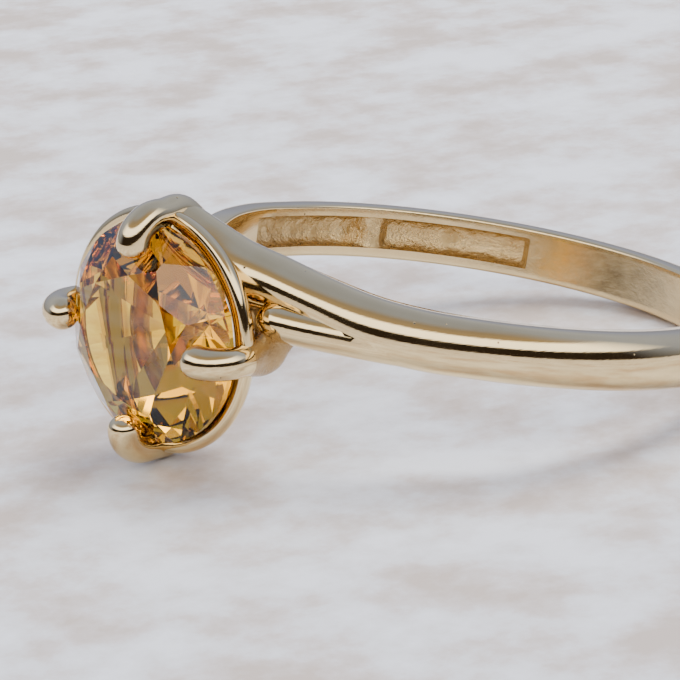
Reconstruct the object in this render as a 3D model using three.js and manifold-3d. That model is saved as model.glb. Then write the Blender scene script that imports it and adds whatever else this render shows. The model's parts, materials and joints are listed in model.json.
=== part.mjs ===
// Crossover claw ring: a hollow-backed D-section shank whose two arms sweep past each other,
// one over and one under a four-claw basket that holds a faceted stone.
// Millimetres. The ring is drawn in its own frame, with the finger hole along Z and the stone
// facing -Y, and is then tipped into the pose in which it lies on a table.
import * as THREE from "three";
import { mergeVertices } from "three/addons/utils/BufferGeometryUtils.js";
import Module from "manifold-3d";

const wasm = await Module();
wasm.setup();

// ---- Driving dimensions ----
const HOLE_RADIUS = 8.6; // finger hole
const SEAM = 0.03; // gap at each joint between neighbouring pieces

const band = {
  width: 1.9, // along the finger
  thickness: 1.35, // at the crown of the D
  sideHeight: 0.6, // flat side wall, from the finger hole outwards
  edgeBreak: 0.12, // bevel along the edges of the finger hole
  halfSweep: 112, // degrees each way from the back of the shank
  step: 4, // degrees between sections
};

const channel = {
  bays: [
    [51, 86], // degrees from the back, where each hollow begins and ends
    [91, 109],
  ],
  width: 1.15,
  depth: 0.6,
};

const head = {
  place: 8, // degrees round the finger, from straight opposite the shank's back
  yaw: 25, // degrees that the stone is turned towards +X
  nod: 7, // degrees that it faces down the finger
  girdleDistance: 12.0, // from the finger hole's axis
  drop: 1.6, // below the shank's mid-plane
};

const stone = {
  halfWidth: 3.62, // across the finger
  halfHeight: 3.68, // along the finger
  crown: 1.15, // girdle to table
  girdle: 0.2,
  pavilion: 2.6, // girdle to culet
  tableShare: 0.58,
  sides: 16,
};

const claw = {
  radius: 0.52, // wire
  beadRadius: 0.64, // rounded tip that laps over the crown
  beadHeight: 1.0, // tip centre above the girdle plane
  lap: 0.46, // tip centre inside the girdle's edge
  stand: 0.38, // wire centre outside the girdle's edge
  stops: [0, 0.012, 0.045, 0.09], // shares of the length where the domed tip is drawn
};

// Rails of oval wire: middle below the girdle, inside its edge, half sizes and lean in degrees.
const bearingRail = { depth: 0.68, inset: 0.2, halfLong: 0.6, halfThin: 0.26, lean: 38.7 };
const baseRail = {
  distance: 9.5, // from the finger hole's axis
  drop: 1.3,
  halfWidth: 2.2,
  halfHeight: 1.9,
  halfLong: 0.44,
  halfThin: 0.4,
  lean: 90,
};

// Leaf of a side claw: across the stone, outwards and along, from its broad part to its point.
const nearLeaf = [
  [4.15, -1.7, 0.2],
  [4.25, -2.75, 0.55],
];
const farLeaf = [
  [3.7, -2.5, 0.1],
  [2.9, -4.3, 0.3],
];

// Stations along an arm from the shank to its claw: share of the way round to the head, inner
// radius, rise along the finger, width, thickness and lean in degrees.
const overStations = [
  [0, HOLE_RADIUS, 0, 1.9, 1.35, 0],
  [0.18, HOLE_RADIUS, 0, 1.93, 1.35, 2],
  [0.36, HOLE_RADIUS, 0.08, 2.0, 1.36, 6],
  [0.54, HOLE_RADIUS + 0.1, 0.3, 2.1, 1.38, 12],
  [0.7, HOLE_RADIUS + 0.45, 0.62, 2.2, 1.38, 22],
  [0.83, HOLE_RADIUS + 1.15, 1.0, 2.2, 1.32, 36],
  [0.93, HOLE_RADIUS + 1.95, 1.6, 2.1, 1.3, 50],
  [1, HOLE_RADIUS + 2.7, 2.15, 1.8, 1.25, 62],
];
const underStations = [
  [0, HOLE_RADIUS, 0, 1.9, 1.35, 0],
  [0.18, HOLE_RADIUS, 0, 1.93, 1.35, 2],
  [0.36, HOLE_RADIUS, 0.2, 2.05, 1.36, 6],
  [0.52, HOLE_RADIUS + 0.1, 0.9, 2.2, 1.38, 14],
  [0.66, HOLE_RADIUS + 0.35, 2.0, 2.4, 1.38, 24],
  [0.79, HOLE_RADIUS + 0.8, 3.2, 2.3, 1.32, 38],
  [0.9, HOLE_RADIUS + 1.4, 4.3, 2.0, 1.2, 52],
  [0.98, HOLE_RADIUS + 2.0, 5.0, 1.5, 1.0, 62],
];
// Lower lobe of the upper arm, which stops short of the basket: degrees, radius and rise.
const lobe = [
  [122, HOLE_RADIUS + 0.62, -0.3],
  [132, HOLE_RADIUS + 0.64, -0.32],
  [142, HOLE_RADIUS + 0.72, -0.34],
  [150.5, HOLE_RADIUS + 0.95, -0.32],
];
const LOBE_RADIUS = 0.6;
const ARM_SECTIONS = 24;

// ---- Materials ----
const gold = (name) =>
  new THREE.MeshStandardMaterial({ name, color: 0xd9bc82, roughness: 0.16, metalness: 1 });
const citrine = new THREE.MeshStandardMaterial({
  name: "citrine",
  color: 0xd8973a,
  roughness: 0.02,
  metalness: 0,
});

// ---- Points and skins ----
const rad = THREE.MathUtils.degToRad;
const vec = (x, y, z) => new THREE.Vector3(x, y, z);

// A point at an angle from the shank's back, measured towards +X.
const polar = (degrees, radius, z) =>
  vec(radius * Math.sin(rad(degrees)), radius * Math.cos(rad(degrees)), z);

// A frame of its own for the stone and one for the base rail: across, outwards and along.
function placing(distance, drop, yaw, nod) {
  const centre = polar(180 - head.place, distance, -drop);
  const flat = vec(Math.sin(rad(yaw)), -Math.cos(rad(yaw)), 0);
  const out = flat.clone().multiplyScalar(Math.cos(rad(nod))).add(vec(0, 0, -Math.sin(rad(nod))));
  const across = vec(Math.cos(rad(yaw)), Math.sin(rad(yaw)), 0);
  const along = across.clone().cross(out).negate();
  return (a, o, l) =>
    centre.clone().addScaledVector(across, a).addScaledVector(out, o).addScaledVector(along, l);
}

const onHead = placing(head.girdleDistance, head.drop, head.yaw, head.nod);
const onBase = placing(baseRail.distance, baseRail.drop, head.place, 0);

// Turns an inside-out skin round.
function facingOut(geometry) {
  const position = geometry.attributes.position;
  const index = geometry.index.array;
  const corner = (i) => vec().fromBufferAttribute(position, index[i]);
  let volume = 0;
  for (let i = 0; i < index.length; i += 3) {
    volume += corner(i).dot(corner(i + 1).cross(corner(i + 2)));
  }
  if (volume < 0) geometry.setIndex(Array.from(index).reverse());
  return geometry;
}

// The quads between neighbouring sections of a row. Each section is a loop of equally many points.
function quadsBetween(rows, count, closed) {
  const index = [];
  for (let s = 0; s < (closed ? rows : rows - 1); s++) {
    const next = (s + 1) % rows;
    for (let i = 0; i < count; i++) {
      const j = (i + 1) % count;
      const corners = [s * count + i, s * count + j, next * count + i, next * count + j];
      index.push(corners[0], corners[1], corners[2], corners[1], corners[3], corners[2]);
    }
  }
  return index;
}

// A closed skin over a row of sections, with a flat fan over each end.
function loft(sections) {
  const count = sections[0].length;
  const points = sections.flat();
  const index = quadsBetween(sections.length, count, false);
  const middle = (loop) => loop.reduce((sum, p) => sum.add(p), vec(0, 0, 0)).divideScalar(count);
  const first = points.push(middle(sections[0])) - 1;
  const last = points.push(middle(sections.at(-1))) - 1;
  const offset = (sections.length - 1) * count;
  for (let i = 0; i < count; i++) {
    const next = (i + 1) % count;
    index.push(first, next, i);
    index.push(last, offset + i, offset + next);
  }
  const geometry = new THREE.BufferGeometry().setFromPoints(points);
  geometry.setIndex(index);
  return facingOut(geometry);
}

// ---- Booleans ----
function solid(geometry) {
  const merged = mergeVertices(geometry);
  return new wasm.Manifold(
    new wasm.Mesh({
      numProp: 3,
      vertProperties: new Float32Array(merged.attributes.position.array),
      triVerts: new Uint32Array(merged.index.array),
    }),
  );
}

function geometryOf(manifold) {
  const mesh = manifold.getMesh();
  const geometry = new THREE.BufferGeometry();
  geometry.setAttribute("position", new THREE.BufferAttribute(mesh.vertProperties, 3));
  geometry.setIndex(new THREE.BufferAttribute(mesh.triVerts, 1));
  return geometry;
}

// The biggest piece that is left of a body once its neighbours' room is cut out of it.
function trimmed(body, ...rooms) {
  const left = rooms.reduce((whole, room) => whole.subtract(room), body);
  return left.decompose().sort((a, b) => b.volume() - a.volume())[0];
}

// ---- Shank ----
// The D section as [outwards, along the finger] pairs: flat inside, straight sides, domed outside.
function bandSection(width, thickness) {
  const half = width / 2;
  const side = Math.min(band.sideHeight, thickness / 2);
  const domeSteps = 10;
  const dome = [];
  for (let i = 0; i <= domeSteps; i++) {
    const angle = (i / domeSteps) * Math.PI;
    dome.push([side + (thickness - side) * Math.sin(angle), half * Math.cos(angle)]);
  }
  return [
    [0, -half + band.edgeBreak],
    [0, half - band.edgeBreak],
    [band.edgeBreak, half],
    ...dome,
    [band.edgeBreak, -half],
  ];
}

const placedSection = (section, degrees, radius, z) =>
  section.map(([out, along]) => polar(degrees, radius + out, z + along));

function sweptBand(section, from, to) {
  const steps = Math.round(Math.abs(to - from) / band.step);
  const sections = [];
  for (let s = 0; s <= steps; s++) {
    sections.push(placedSection(section, from + ((to - from) * s) / steps, HOLE_RADIUS, 0));
  }
  return loft(sections);
}

// One hollow in the back of the shank, open to the finger hole, with a rounded floor. The solid
// metal between two hollows is a cross rib.
function hollow(side, bay) {
  const half = channel.width / 2;
  const section = [
    [-1, -half],
    [-1, half],
    [channel.depth * 0.4, half],
    [channel.depth, half * 0.45],
    [channel.depth, -half * 0.45],
    [channel.depth * 0.4, -half],
  ];
  return solid(sweptBand(section, side * bay[0], side * bay[1]));
}

function shank() {
  const section = bandSection(band.width, band.thickness);
  const whole = solid(sweptBand(section, -band.halfSweep, band.halfSweep));
  return trimmed(whole, ...channel.bays.flatMap((bay) => [hollow(1, bay), hollow(-1, bay)]));
}

// ---- Wires ----
// A wire along a curve, its section an oval. Each stop on the curve has two radii: one beside the
// curve and one along the reference direction, which stands square to the plane the curve bends in.
function wire(curve, reference, stops, radiiAt, grow, sides = 14) {
  const sections = stops.map((t) => {
    const centre = curve.getPointAt(t);
    const along = curve.getTangentAt(t);
    const above = reference.clone().addScaledVector(along, -reference.dot(along)).normalize();
    const beside = above.clone().cross(along);
    const [wide, high] = radiiAt(t).map((radius) => radius + grow);
    const loop = [];
    for (let i = 0; i < sides; i++) {
      const angle = (i / sides) * 2 * Math.PI;
      loop.push(
        centre
          .clone()
          .addScaledVector(beside, wide * Math.cos(angle))
          .addScaledVector(above, high * Math.sin(angle)),
      );
    }
    return loop;
  });
  return solid(loft(sections));
}

// Stops along a wire: close together where its first end is domed, then evenly spaced.
function stopsAlong(steps) {
  const last = claw.stops.at(-1);
  const even = Array.from({ length: steps }, (_, i) => last + ((1 - last) * (i + 1)) / steps);
  return [...claw.stops, ...even];
}

const smooth = (points) => new THREE.CatmullRomCurve3(points, false, "centripetal");

// Share of the full radius near a domed end, for a distance from the end as a share of the dome.
const domed = (share) => (share >= 1 ? 1 : Math.sqrt(Math.max(0.03, 1 - (1 - share) ** 2)));

// ---- Arms ----
// One arm, its stations blended into a smooth row. Side +1 rises on the +X side of the ring and
// side -1 dips on the -X side.
function arm(side, stations) {
  const place = new THREE.CatmullRomCurve3(stations.map((s) => vec(s[0], s[1], s[2])));
  const size = new THREE.CatmullRomCurve3(stations.map((s) => vec(s[3], s[4], s[5])));
  const start = band.halfSweep + (SEAM / HOLE_RADIUS) * THREE.MathUtils.RAD2DEG;
  const reach = 180 - side * head.place - start;
  const sections = [];
  for (let s = 0; s <= ARM_SECTIONS; s++) {
    const here = place.getPoint(s / ARM_SECTIONS);
    const { x: width, y: thickness, z: lean } = size.getPoint(s / ARM_SECTIONS);
    const centre = thickness / 2;
    const cos = Math.cos(rad(lean));
    const sin = Math.sin(rad(lean));
    const leaning = bandSection(width, thickness).map(([out, along]) => [
      centre + (out - centre) * cos - along * sin,
      side * (here.z + (out - centre) * sin + along * cos),
    ]);
    sections.push(placedSection(leaning, side * (start + here.x * reach), here.y, 0));
  }
  return solid(loft(sections));
}

// The lower lobe of the upper arm, with a rounded end.
function armLobe() {
  const curve = smooth(lobe.map(([degrees, radius, z]) => polar(degrees, radius, z)));
  const radiiAt = (t) => {
    const round = LOBE_RADIUS * domed((1 - t) / 0.16);
    return [round, round * 1.05];
  };
  const stops = [0, 0.25, 0.5, 0.7, 0.84, 0.9, 0.95, 0.98, 1];
  return wire(curve, vec(0, 0, 1), stops, radiiAt, 0);
}

// ---- Head ----
// Wire centres of a claw from its tip to the level of the bearing rail.
function clawLine(angle) {
  const cos = Math.cos(rad(angle));
  const sin = Math.sin(rad(angle));
  const at = (grow, out) =>
    onHead(cos * (stone.halfWidth + grow), out, sin * (stone.halfHeight + grow));
  return [
    at(-claw.lap - 0.55, claw.beadHeight + 0.1),
    at(-claw.lap * 0.5, claw.beadHeight),
    at(claw.stand * 0.7, claw.beadHeight - 0.5),
    at(claw.stand, -0.15),
    at(claw.stand * 0.7, -1.2),
  ];
}

const directionOf = (across, out, along) => onHead(across, out, along).sub(onHead(0, 0, 0));

// A claw that drops behind the stone onto the base rail, top or bottom.
function uprightClaw(angle, grow = 0) {
  const side = Math.sign(Math.sin(rad(angle)));
  const foot = onBase(0, 0.25, side * (baseRail.halfHeight + 0.3));
  const radiiAt = (t) => {
    const radius = THREE.MathUtils.lerp(claw.beadRadius, claw.radius * 0.85, Math.min(1, t * 1.8));
    const round = radius * domed(t / claw.stops.at(-1)) * domed((1 - t) / 0.06);
    return [round, round];
  };
  const curve = smooth([...clawLine(angle), foot]);
  return wire(curve, directionOf(1, 0, 0), stopsAlong(16), radiiAt, grow);
}

// A claw at the stone's side. Behind the stone it spreads into a leaf that ends in a point.
function leafClaw(angle, leaf, grow = 0) {
  const side = Math.sign(Math.cos(rad(angle)));
  const points = leaf.map(([across, out, along]) => onHead(side * across, out, along));
  const radiiAt = (t) => {
    const spread = THREE.MathUtils.smoothstep(t, 0.42, 0.66);
    const point = 1 - 0.86 * THREE.MathUtils.smoothstep(t, 0.66, 1);
    const wired = THREE.MathUtils.lerp(claw.beadRadius, claw.radius, Math.min(1, t * 1.8));
    const round = wired * domed(t / claw.stops.at(-1)) * point;
    return [round * (1 - 0.25 * spread), round * (1 + 0.7 * spread)];
  };
  const curve = smooth([...clawLine(angle), ...points]);
  return wire(curve, directionOf(0, 0, 1), stopsAlong(18), radiiAt, grow);
}

// An oval rail of oval wire, in the frame that places it. The wire's section may lean.
function rail(on, depth, halfWidth, halfHeight, section, grow, around, sides) {
  const cos = Math.cos(rad(section.lean));
  const sin = Math.sin(rad(section.lean));
  const points = [];
  for (let a = 0; a < around; a++) {
    const turn = (a / around) * 2 * Math.PI;
    for (let i = 0; i < sides; i++) {
      const roll = (i / sides) * 2 * Math.PI;
      const long = (section.halfLong + grow) * Math.cos(roll);
      const thin = (section.halfThin + grow) * Math.sin(roll);
      const across = long * cos - thin * sin;
      const out = long * sin + thin * cos - depth;
      points.push(
        on((halfWidth + across) * Math.cos(turn), out, (halfHeight + across) * Math.sin(turn)),
      );
    }
  }
  const geometry = new THREE.BufferGeometry().setFromPoints(points);
  geometry.setIndex(quadsBetween(around, sides, true));
  return solid(facingOut(geometry));
}

function bearing(grow = 0) {
  const width = stone.halfWidth - bearingRail.inset;
  const height = stone.halfHeight - bearingRail.inset;
  return rail(onHead, bearingRail.depth, width, height, bearingRail, grow, 48, 12);
}

const base = (grow = 0) =>
  rail(onBase, 0, baseRail.halfWidth, baseRail.halfHeight, baseRail, grow, 32, 10);

// The cut stone: flat table, crown facets, thin girdle, long pavilion facets and a small culet.
function cutStone(grow = 0) {
  const loop = (share, out, turned) => {
    const corners = [];
    for (let i = 0; i < stone.sides; i++) {
      const angle = ((i + (turned ? 0.5 : 0)) / stone.sides) * 2 * Math.PI;
      const across = (share * stone.halfWidth + grow) * Math.cos(angle);
      corners.push(onHead(across, out, (share * stone.halfHeight + grow) * Math.sin(angle)));
    }
    return corners;
  };
  const top = stone.girdle / 2;
  return solid(
    loft([
      loop(stone.tableShare, top + stone.crown + grow, false),
      loop(0.84, top + stone.crown * 0.52 + grow, true),
      loop(1, top, false),
      loop(1, -top, false),
      loop(0.6, -top - stone.pavilion * 0.45 - grow, true),
      loop(0.05, -top - stone.pavilion - grow, true),
    ]),
  );
}

// ---- Assembly ----
const claws = {
  claw_top: (grow) => uprightClaw(90, grow),
  claw_bottom: (grow) => uprightClaw(270, grow),
  claw_near: (grow) => leafClaw(0, nearLeaf, grow),
  claw_far: (grow) => leafClaw(180, farLeaf, grow),
};

const stoneRoom = cutStone(SEAM);
const railRooms = [bearing(SEAM), base(SEAM)];
const clawRooms = Object.values(claws).map((make) => make(SEAM));

const pieces = {
  shank: shank(),
  arm_over: trimmed(arm(1, overStations).add(armLobe()), stoneRoom, ...railRooms, ...clawRooms),
  arm_under: trimmed(arm(-1, underStations), stoneRoom, ...railRooms, ...clawRooms),
  bearing_rail: bearing(),
  base_rail: base(),
};
for (const [name, make] of Object.entries(claws)) {
  pieces[name] = trimmed(make(0), stoneRoom, ...railRooms);
}

const ring = new THREE.Group();
for (const [name, body] of Object.entries(pieces)) {
  const mesh = new THREE.Mesh(geometryOf(body), gold(`${name}_gold`));
  mesh.name = name;
  ring.add(mesh);
}
const stoneMesh = new THREE.Mesh(geometryOf(cutStone()), citrine);
stoneMesh.name = "stone";
ring.add(stoneMesh);

// ---- Rest pose ----
// The lowest height over the head's half and over the back's half of the ring at a given tilt.
function lowest(tilt) {
  const turn = new THREE.Matrix4().makeRotationX(tilt);
  const low = [Infinity, Infinity];
  for (const mesh of ring.children) {
    const position = mesh.geometry.attributes.position;
    for (let i = 0; i < position.count; i++) {
      const point = vec().fromBufferAttribute(position, i);
      const half = point.y < 0 ? 0 : 1;
      low[half] = Math.min(low[half], point.applyMatrix4(turn).z);
    }
  }
  return low;
}

// Tilts the ring until its head and its back touch the table together.
function settle(group) {
  let low = rad(-30);
  let high = rad(30);
  for (let i = 0; i < 30; i++) {
    const tilt = (low + high) / 2;
    const [headLow, backLow] = lowest(tilt);
    if (headLow < backLow) high = tilt;
    else low = tilt;
  }
  group.rotation.x = low;
  group.updateMatrixWorld(true);
  const box = new THREE.Box3().setFromObject(group, true);
  const middle = box.getCenter(vec());
  group.position.set(-middle.x, -middle.y, -box.min.z);
}

settle(ring);
const crossoverRing = new THREE.Group();
crossoverRing.add(ring);
crossoverRing.updateMatrixWorld(true);
export default crossoverRing;
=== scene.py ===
"""Crossover claw ring in polished 9 ct yellow gold, set with a round, faceted citrine.

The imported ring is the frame. Each of its pieces is modelled again here in the same place, with the
fine shape and finish of a ring that was cast, filed and buffed. Sizes are millimetres in the ring's
own frame: the finger hole lies along Z and the stone faces -Y. Angles are degrees, start at the
shank's back and open towards +X. The last step of each piece lays it down as the ring lies.
"""

import json
import logging
from collections.abc import Callable, Sequence
from dataclasses import dataclass
from enum import Enum, IntEnum
from math import atan2, cos, degrees, pi, radians, sin, sqrt
from typing import NamedTuple

import bmesh
import bpy
from mathutils import Matrix, Vector, noise


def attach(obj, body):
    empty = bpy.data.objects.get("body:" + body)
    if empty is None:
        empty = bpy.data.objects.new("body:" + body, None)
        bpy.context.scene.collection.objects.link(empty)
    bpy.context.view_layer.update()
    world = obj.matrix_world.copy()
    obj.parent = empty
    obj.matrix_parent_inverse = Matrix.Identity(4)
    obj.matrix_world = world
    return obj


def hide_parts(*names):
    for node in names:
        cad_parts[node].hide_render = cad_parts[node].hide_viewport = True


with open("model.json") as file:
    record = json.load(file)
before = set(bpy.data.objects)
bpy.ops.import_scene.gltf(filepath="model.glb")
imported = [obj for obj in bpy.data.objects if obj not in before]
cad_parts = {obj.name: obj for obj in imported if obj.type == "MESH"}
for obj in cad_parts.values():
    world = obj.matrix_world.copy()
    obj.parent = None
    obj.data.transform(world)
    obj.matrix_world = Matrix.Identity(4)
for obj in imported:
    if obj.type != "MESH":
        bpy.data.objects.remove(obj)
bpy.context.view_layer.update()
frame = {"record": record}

log = logging.getLogger("crossover_ring")
MM = 0.001

Loop = list[Vector]
Section = list[tuple[float, float]]
Colour = tuple[float, float, float, float]
Socket = bpy.types.NodeSocket
Inputs = dict[str | int, object]

TOUCHING = 1e-4  # points closer than this are one point
BUFFED_OVER_ANGLE = 38.0  # degrees; sharper edges than this stay crisp
WIRE_SIDES = 28
WIRE_STEPS = 64
WIRE_FINE_STEPS = 400  # points that stand for the wire's middle line
WIRE_LOOK = 4  # fine steps to either side that give the line's direction
WIRE_END_BIAS = 0.75  # 0 spaces sections evenly, 1 crowds them at the ends


# ---- Sizes that pieces share ----


@dataclass(frozen=True)
class RingSizes:
    """Driving sizes of the whole ring, in millimetres and degrees."""

    hole_radius: float = 8.6
    band_width: float = 1.9
    band_thickness: float = 1.35
    half_sweep: float = 112.0
    head_place: float = 8.0
    head_yaw: float = 25.0
    head_nod: float = 7.0
    head_drop: float = 1.6
    girdle_distance: float = 12.0
    stone_half_width: float = 3.62
    stone_half_height: float = 3.68
    base_distance: float = 9.5
    base_drop: float = 1.3


SIZES = RingSizes()


class Side(Enum):
    """Which arm: the one over the head on the +X side, or the one under it on the -X side."""

    OVER = 1
    UNDER = -1


class Shading(Enum):
    """How a piece's faces are shaded: buffed round, or cut flat."""

    BUFFED = "buffed"
    FACETED = "faceted"


def polar(angle: float, radius: float, rise: float) -> Vector:
    """A point round the finger hole.

    Args:
        angle: Degrees from the shank's back towards +X.
        radius: Distance from the hole's axis.
        rise: Height along the finger.

    Returns:
        The point in the ring's own frame.
    """
    turn = radians(angle)
    return Vector((radius * sin(turn), radius * cos(turn), rise))


def lerp(start: float, end: float, share: float) -> float:
    """The value that lies the given share of the way from start to end."""
    return start + (end - start) * share


def smoothstep(value: float, low: float, high: float) -> float:
    """A soft step from 0 at low to 1 at high."""
    share = min(1.0, max(0.0, (value - low) / (high - low)))
    return share * share * (3 - 2 * share)


def domed(share: float) -> float:
    """Share of the full radius near a rounded end, for a share of the dome's length."""
    return 1.0 if share >= 1 else sqrt(max(0.004, 1 - (1 - share) ** 2))


@dataclass(frozen=True)
class Placing:
    """A small frame on the ring's head: across it, out of it and along the finger."""

    distance: float
    drop: float
    yaw: float
    nod: float = 0.0

    @property
    def out(self) -> Vector:
        """Direction out of the head."""
        turn, nod = radians(self.yaw), radians(self.nod)
        return Vector((sin(turn) * cos(nod), -cos(turn) * cos(nod), -sin(nod)))

    @property
    def across(self) -> Vector:
        """Direction across the head, towards +X."""
        turn = radians(self.yaw)
        return Vector((cos(turn), sin(turn), 0.0))

    @property
    def along(self) -> Vector:
        """Direction along the finger."""
        return -self.across.cross(self.out)

    def at(self, across: float, out: float, along: float) -> Vector:
        """The point at these three distances from the frame's centre."""
        centre = polar(180 - SIZES.head_place, self.distance, -self.drop)
        return centre + self.across * across + self.out * out + self.along * along


HEAD = Placing(SIZES.girdle_distance, SIZES.head_drop, SIZES.head_yaw, SIZES.head_nod)
BASE = Placing(SIZES.base_distance, SIZES.base_drop, SIZES.head_place)


def lying_down() -> Matrix:
    """How the ring lies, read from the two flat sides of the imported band.

    Returns:
        The matrix from the ring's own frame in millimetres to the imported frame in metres.
    """
    sides = {m["name"]: m for m in frame["record"]["mounts"]}
    upper, lower = sides["band_side_upper"], sides["band_side_lower"]
    axis = Vector(upper["axis"])
    lean = Matrix.Rotation(-atan2(axis.y, axis.z), 4, "X")
    middle = (Vector(upper["pos_m"]) + Vector(lower["pos_m"])) / 2
    mark_angle, mark_radius = 2.0, 8.9
    centre = middle - (lean @ polar(mark_angle, mark_radius, 0.0)) * MM
    return Matrix.Translation(centre) @ lean @ Matrix.Scale(MM, 4)


POSE = lying_down()


# ---- Bench work: modelling steps ----


def clear_selection() -> None:
    """Leaves object mode current and nothing selected."""
    if bpy.context.object and bpy.context.object.mode != "OBJECT":
        bpy.ops.object.mode_set(mode="OBJECT")
    bpy.ops.object.select_all(action="DESELECT")


def pick_up(piece: bpy.types.Object) -> None:
    """Makes a piece the only one that is selected, and the active one."""
    clear_selection()
    piece.select_set(True)
    bpy.context.view_layer.objects.active = piece


def turn_faces_out() -> None:
    """Turns every face of the mesh that is being edited outwards."""
    bpy.ops.mesh.select_all(action="SELECT")
    bpy.ops.mesh.normals_make_consistent(inside=False)


def select_open_ends() -> None:
    """Selects the edges round the openings of the mesh that is being edited."""
    bpy.ops.mesh.select_all(action="DESELECT")
    bpy.ops.mesh.select_mode(type="EDGE")
    bpy.ops.mesh.select_non_manifold()


def slope(values: Sequence[float], knots: Sequence[float], i: int) -> float:
    """Slope of a row of values at one knot, from its neighbours."""
    low, high = max(0, i - 1), min(len(values) - 1, i + 1)
    return (values[high] - values[low]) / (knots[high] - knots[low])


def smooth_row(rows: Sequence[Sequence[float]], count: int) -> list[list[float]]:
    """Blends rows of numbers into a longer run that is smooth all along (a Hermite spline).

    Args:
        rows: Stations, each with the same count of numbers. The first three set their spacing.
        count: How many rows to return.

    Returns:
        Evenly stepped rows from the first station to the last.
    """
    knots = [0.0]
    for a, b in zip(rows, rows[1:]):
        gap = sqrt(sum((p - q) ** 2 for p, q in zip(a[:3], b[:3])))
        knots.append(knots[-1] + max(TOUCHING, sqrt(gap)))
    result = []
    for step in range(count):
        t = knots[-1] * step / (count - 1)
        i = max(k for k in range(len(rows) - 1) if knots[k] <= t + 1e-9)
        span = knots[i + 1] - knots[i]
        u = (t - knots[i]) / span
        row = []
        for column in range(len(rows[0])):
            values = [r[column] for r in rows]
            slope_in = slope(values, knots, i) * span
            slope_out = slope(values, knots, i + 1) * span
            a, b = values[i], values[i + 1]
            row.append(
                a * (2 * u**3 - 3 * u**2 + 1)
                + slope_in * (u**3 - 2 * u**2 + u)
                + b * (3 * u**2 - 2 * u**3)
                + slope_out * (u**3 - u**2)
            )
        result.append(row)
    return result


def place_loop(piece: bpy.types.Object, old: Loop, new: Loop) -> None:
    """Moves the selected loop of an open edit mesh from one section to the next.

    Args:
        piece: The object in edit mode.
        old: Where the loop's points are now.
        new: Where they go, in the same order.
    """
    place_of = {tuple(round(c, 4) for c in p): i for i, p in enumerate(old)}
    mesh = bmesh.from_edit_mesh(piece.data)
    for vertex in mesh.verts:
        if vertex.select:
            vertex.co = new[place_of[tuple(round(c, 4) for c in vertex.co)]]
    bmesh.update_edit_mesh(piece.data)


def swept_tube(name: str, sections: Sequence[Loop]) -> bpy.types.Object:
    """Extrudes a loop through a row of sections and leaves the tube's two ends open.

    Args:
        name: The piece's name.
        sections: Loops of equally many points.

    Returns:
        The piece in edit mode, in the ring's own frame.
    """
    clear_selection()
    bpy.ops.mesh.primitive_circle_add(vertices=len(sections[0]), radius=SIZES.band_width)
    piece = bpy.context.object
    piece.name = name
    for vertex, point in zip(piece.data.vertices, sections[0]):
        vertex.co = point
    bpy.ops.object.mode_set(mode="EDIT")
    bpy.ops.mesh.select_all(action="SELECT")
    for old, new in zip(sections, sections[1:]):
        bpy.ops.mesh.extrude_region_move()
        place_loop(piece, old, new)
    return piece


def hoop(name: str, sections: Sequence[Loop]) -> bpy.types.Object:
    """Sweeps a loop all the way round and bridges the last section to the first.

    Args:
        name: The piece's name.
        sections: Loops of equally many points, the last one a step short of the first.

    Returns:
        The closed piece in edit mode, in the ring's own frame.
    """
    piece = swept_tube(name, sections)
    select_open_ends()
    bpy.ops.mesh.bridge_edge_loops()
    return piece


def rod(name: str, sections: Sequence[Loop]) -> bpy.types.Object:
    """Sweeps a loop along a line and closes both ends.

    Args:
        name: The piece's name.
        sections: Loops of equally many points.

    Returns:
        The closed piece in edit mode, in the ring's own frame.
    """
    piece = swept_tube(name, sections)
    select_open_ends()
    bpy.ops.mesh.edge_face_add()
    return piece


def wire_sections(
    stations: Sequence[Sequence[float]],
    reference: Vector,
    radii: Callable[[float], tuple[float, float]],
    steps: int,
) -> list[Loop]:
    """Oval sections along a bent wire, closer together at its two ends.

    Args:
        stations: Places that the wire's middle runs through.
        reference: Direction square to the plane the wire bends in.
        radii: The two half sizes at a share of the wire's length.
        steps: How many sections.

    Returns:
        The sections in order.
    """
    fine = [Vector(row) for row in smooth_row(stations, WIRE_FINE_STEPS)]
    lengths = [0.0]
    for a, b in zip(fine, fine[1:]):
        lengths.append(lengths[-1] + (b - a).length)
    turns = [2 * pi * i / WIRE_SIDES for i in range(WIRE_SIDES)]
    sections = []
    for step in range(steps):
        even = step / (steps - 1)
        share = lerp(even, (1 - cos(pi * step / (steps - 1))) / 2, WIRE_END_BIAS)
        i = max(1, min(len(fine) - 2, sum(1 for d in lengths if d < share * lengths[-1])))
        ahead, behind = fine[min(i + WIRE_LOOK, len(fine) - 1)], fine[max(i - WIRE_LOOK, 0)]
        along = (ahead - behind).normalized()
        above = (reference - along * reference.dot(along)).normalized()
        beside = above.cross(along)
        past = (share * lengths[-1] - lengths[i - 1]) / (lengths[i] - lengths[i - 1])
        middle = fine[i - 1].lerp(fine[i], min(1, past))
        wide, high = radii(share)
        sections.append(
            [middle + beside * (wide * cos(t)) + above * (high * sin(t)) for t in turns]
        )
    return sections


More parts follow.
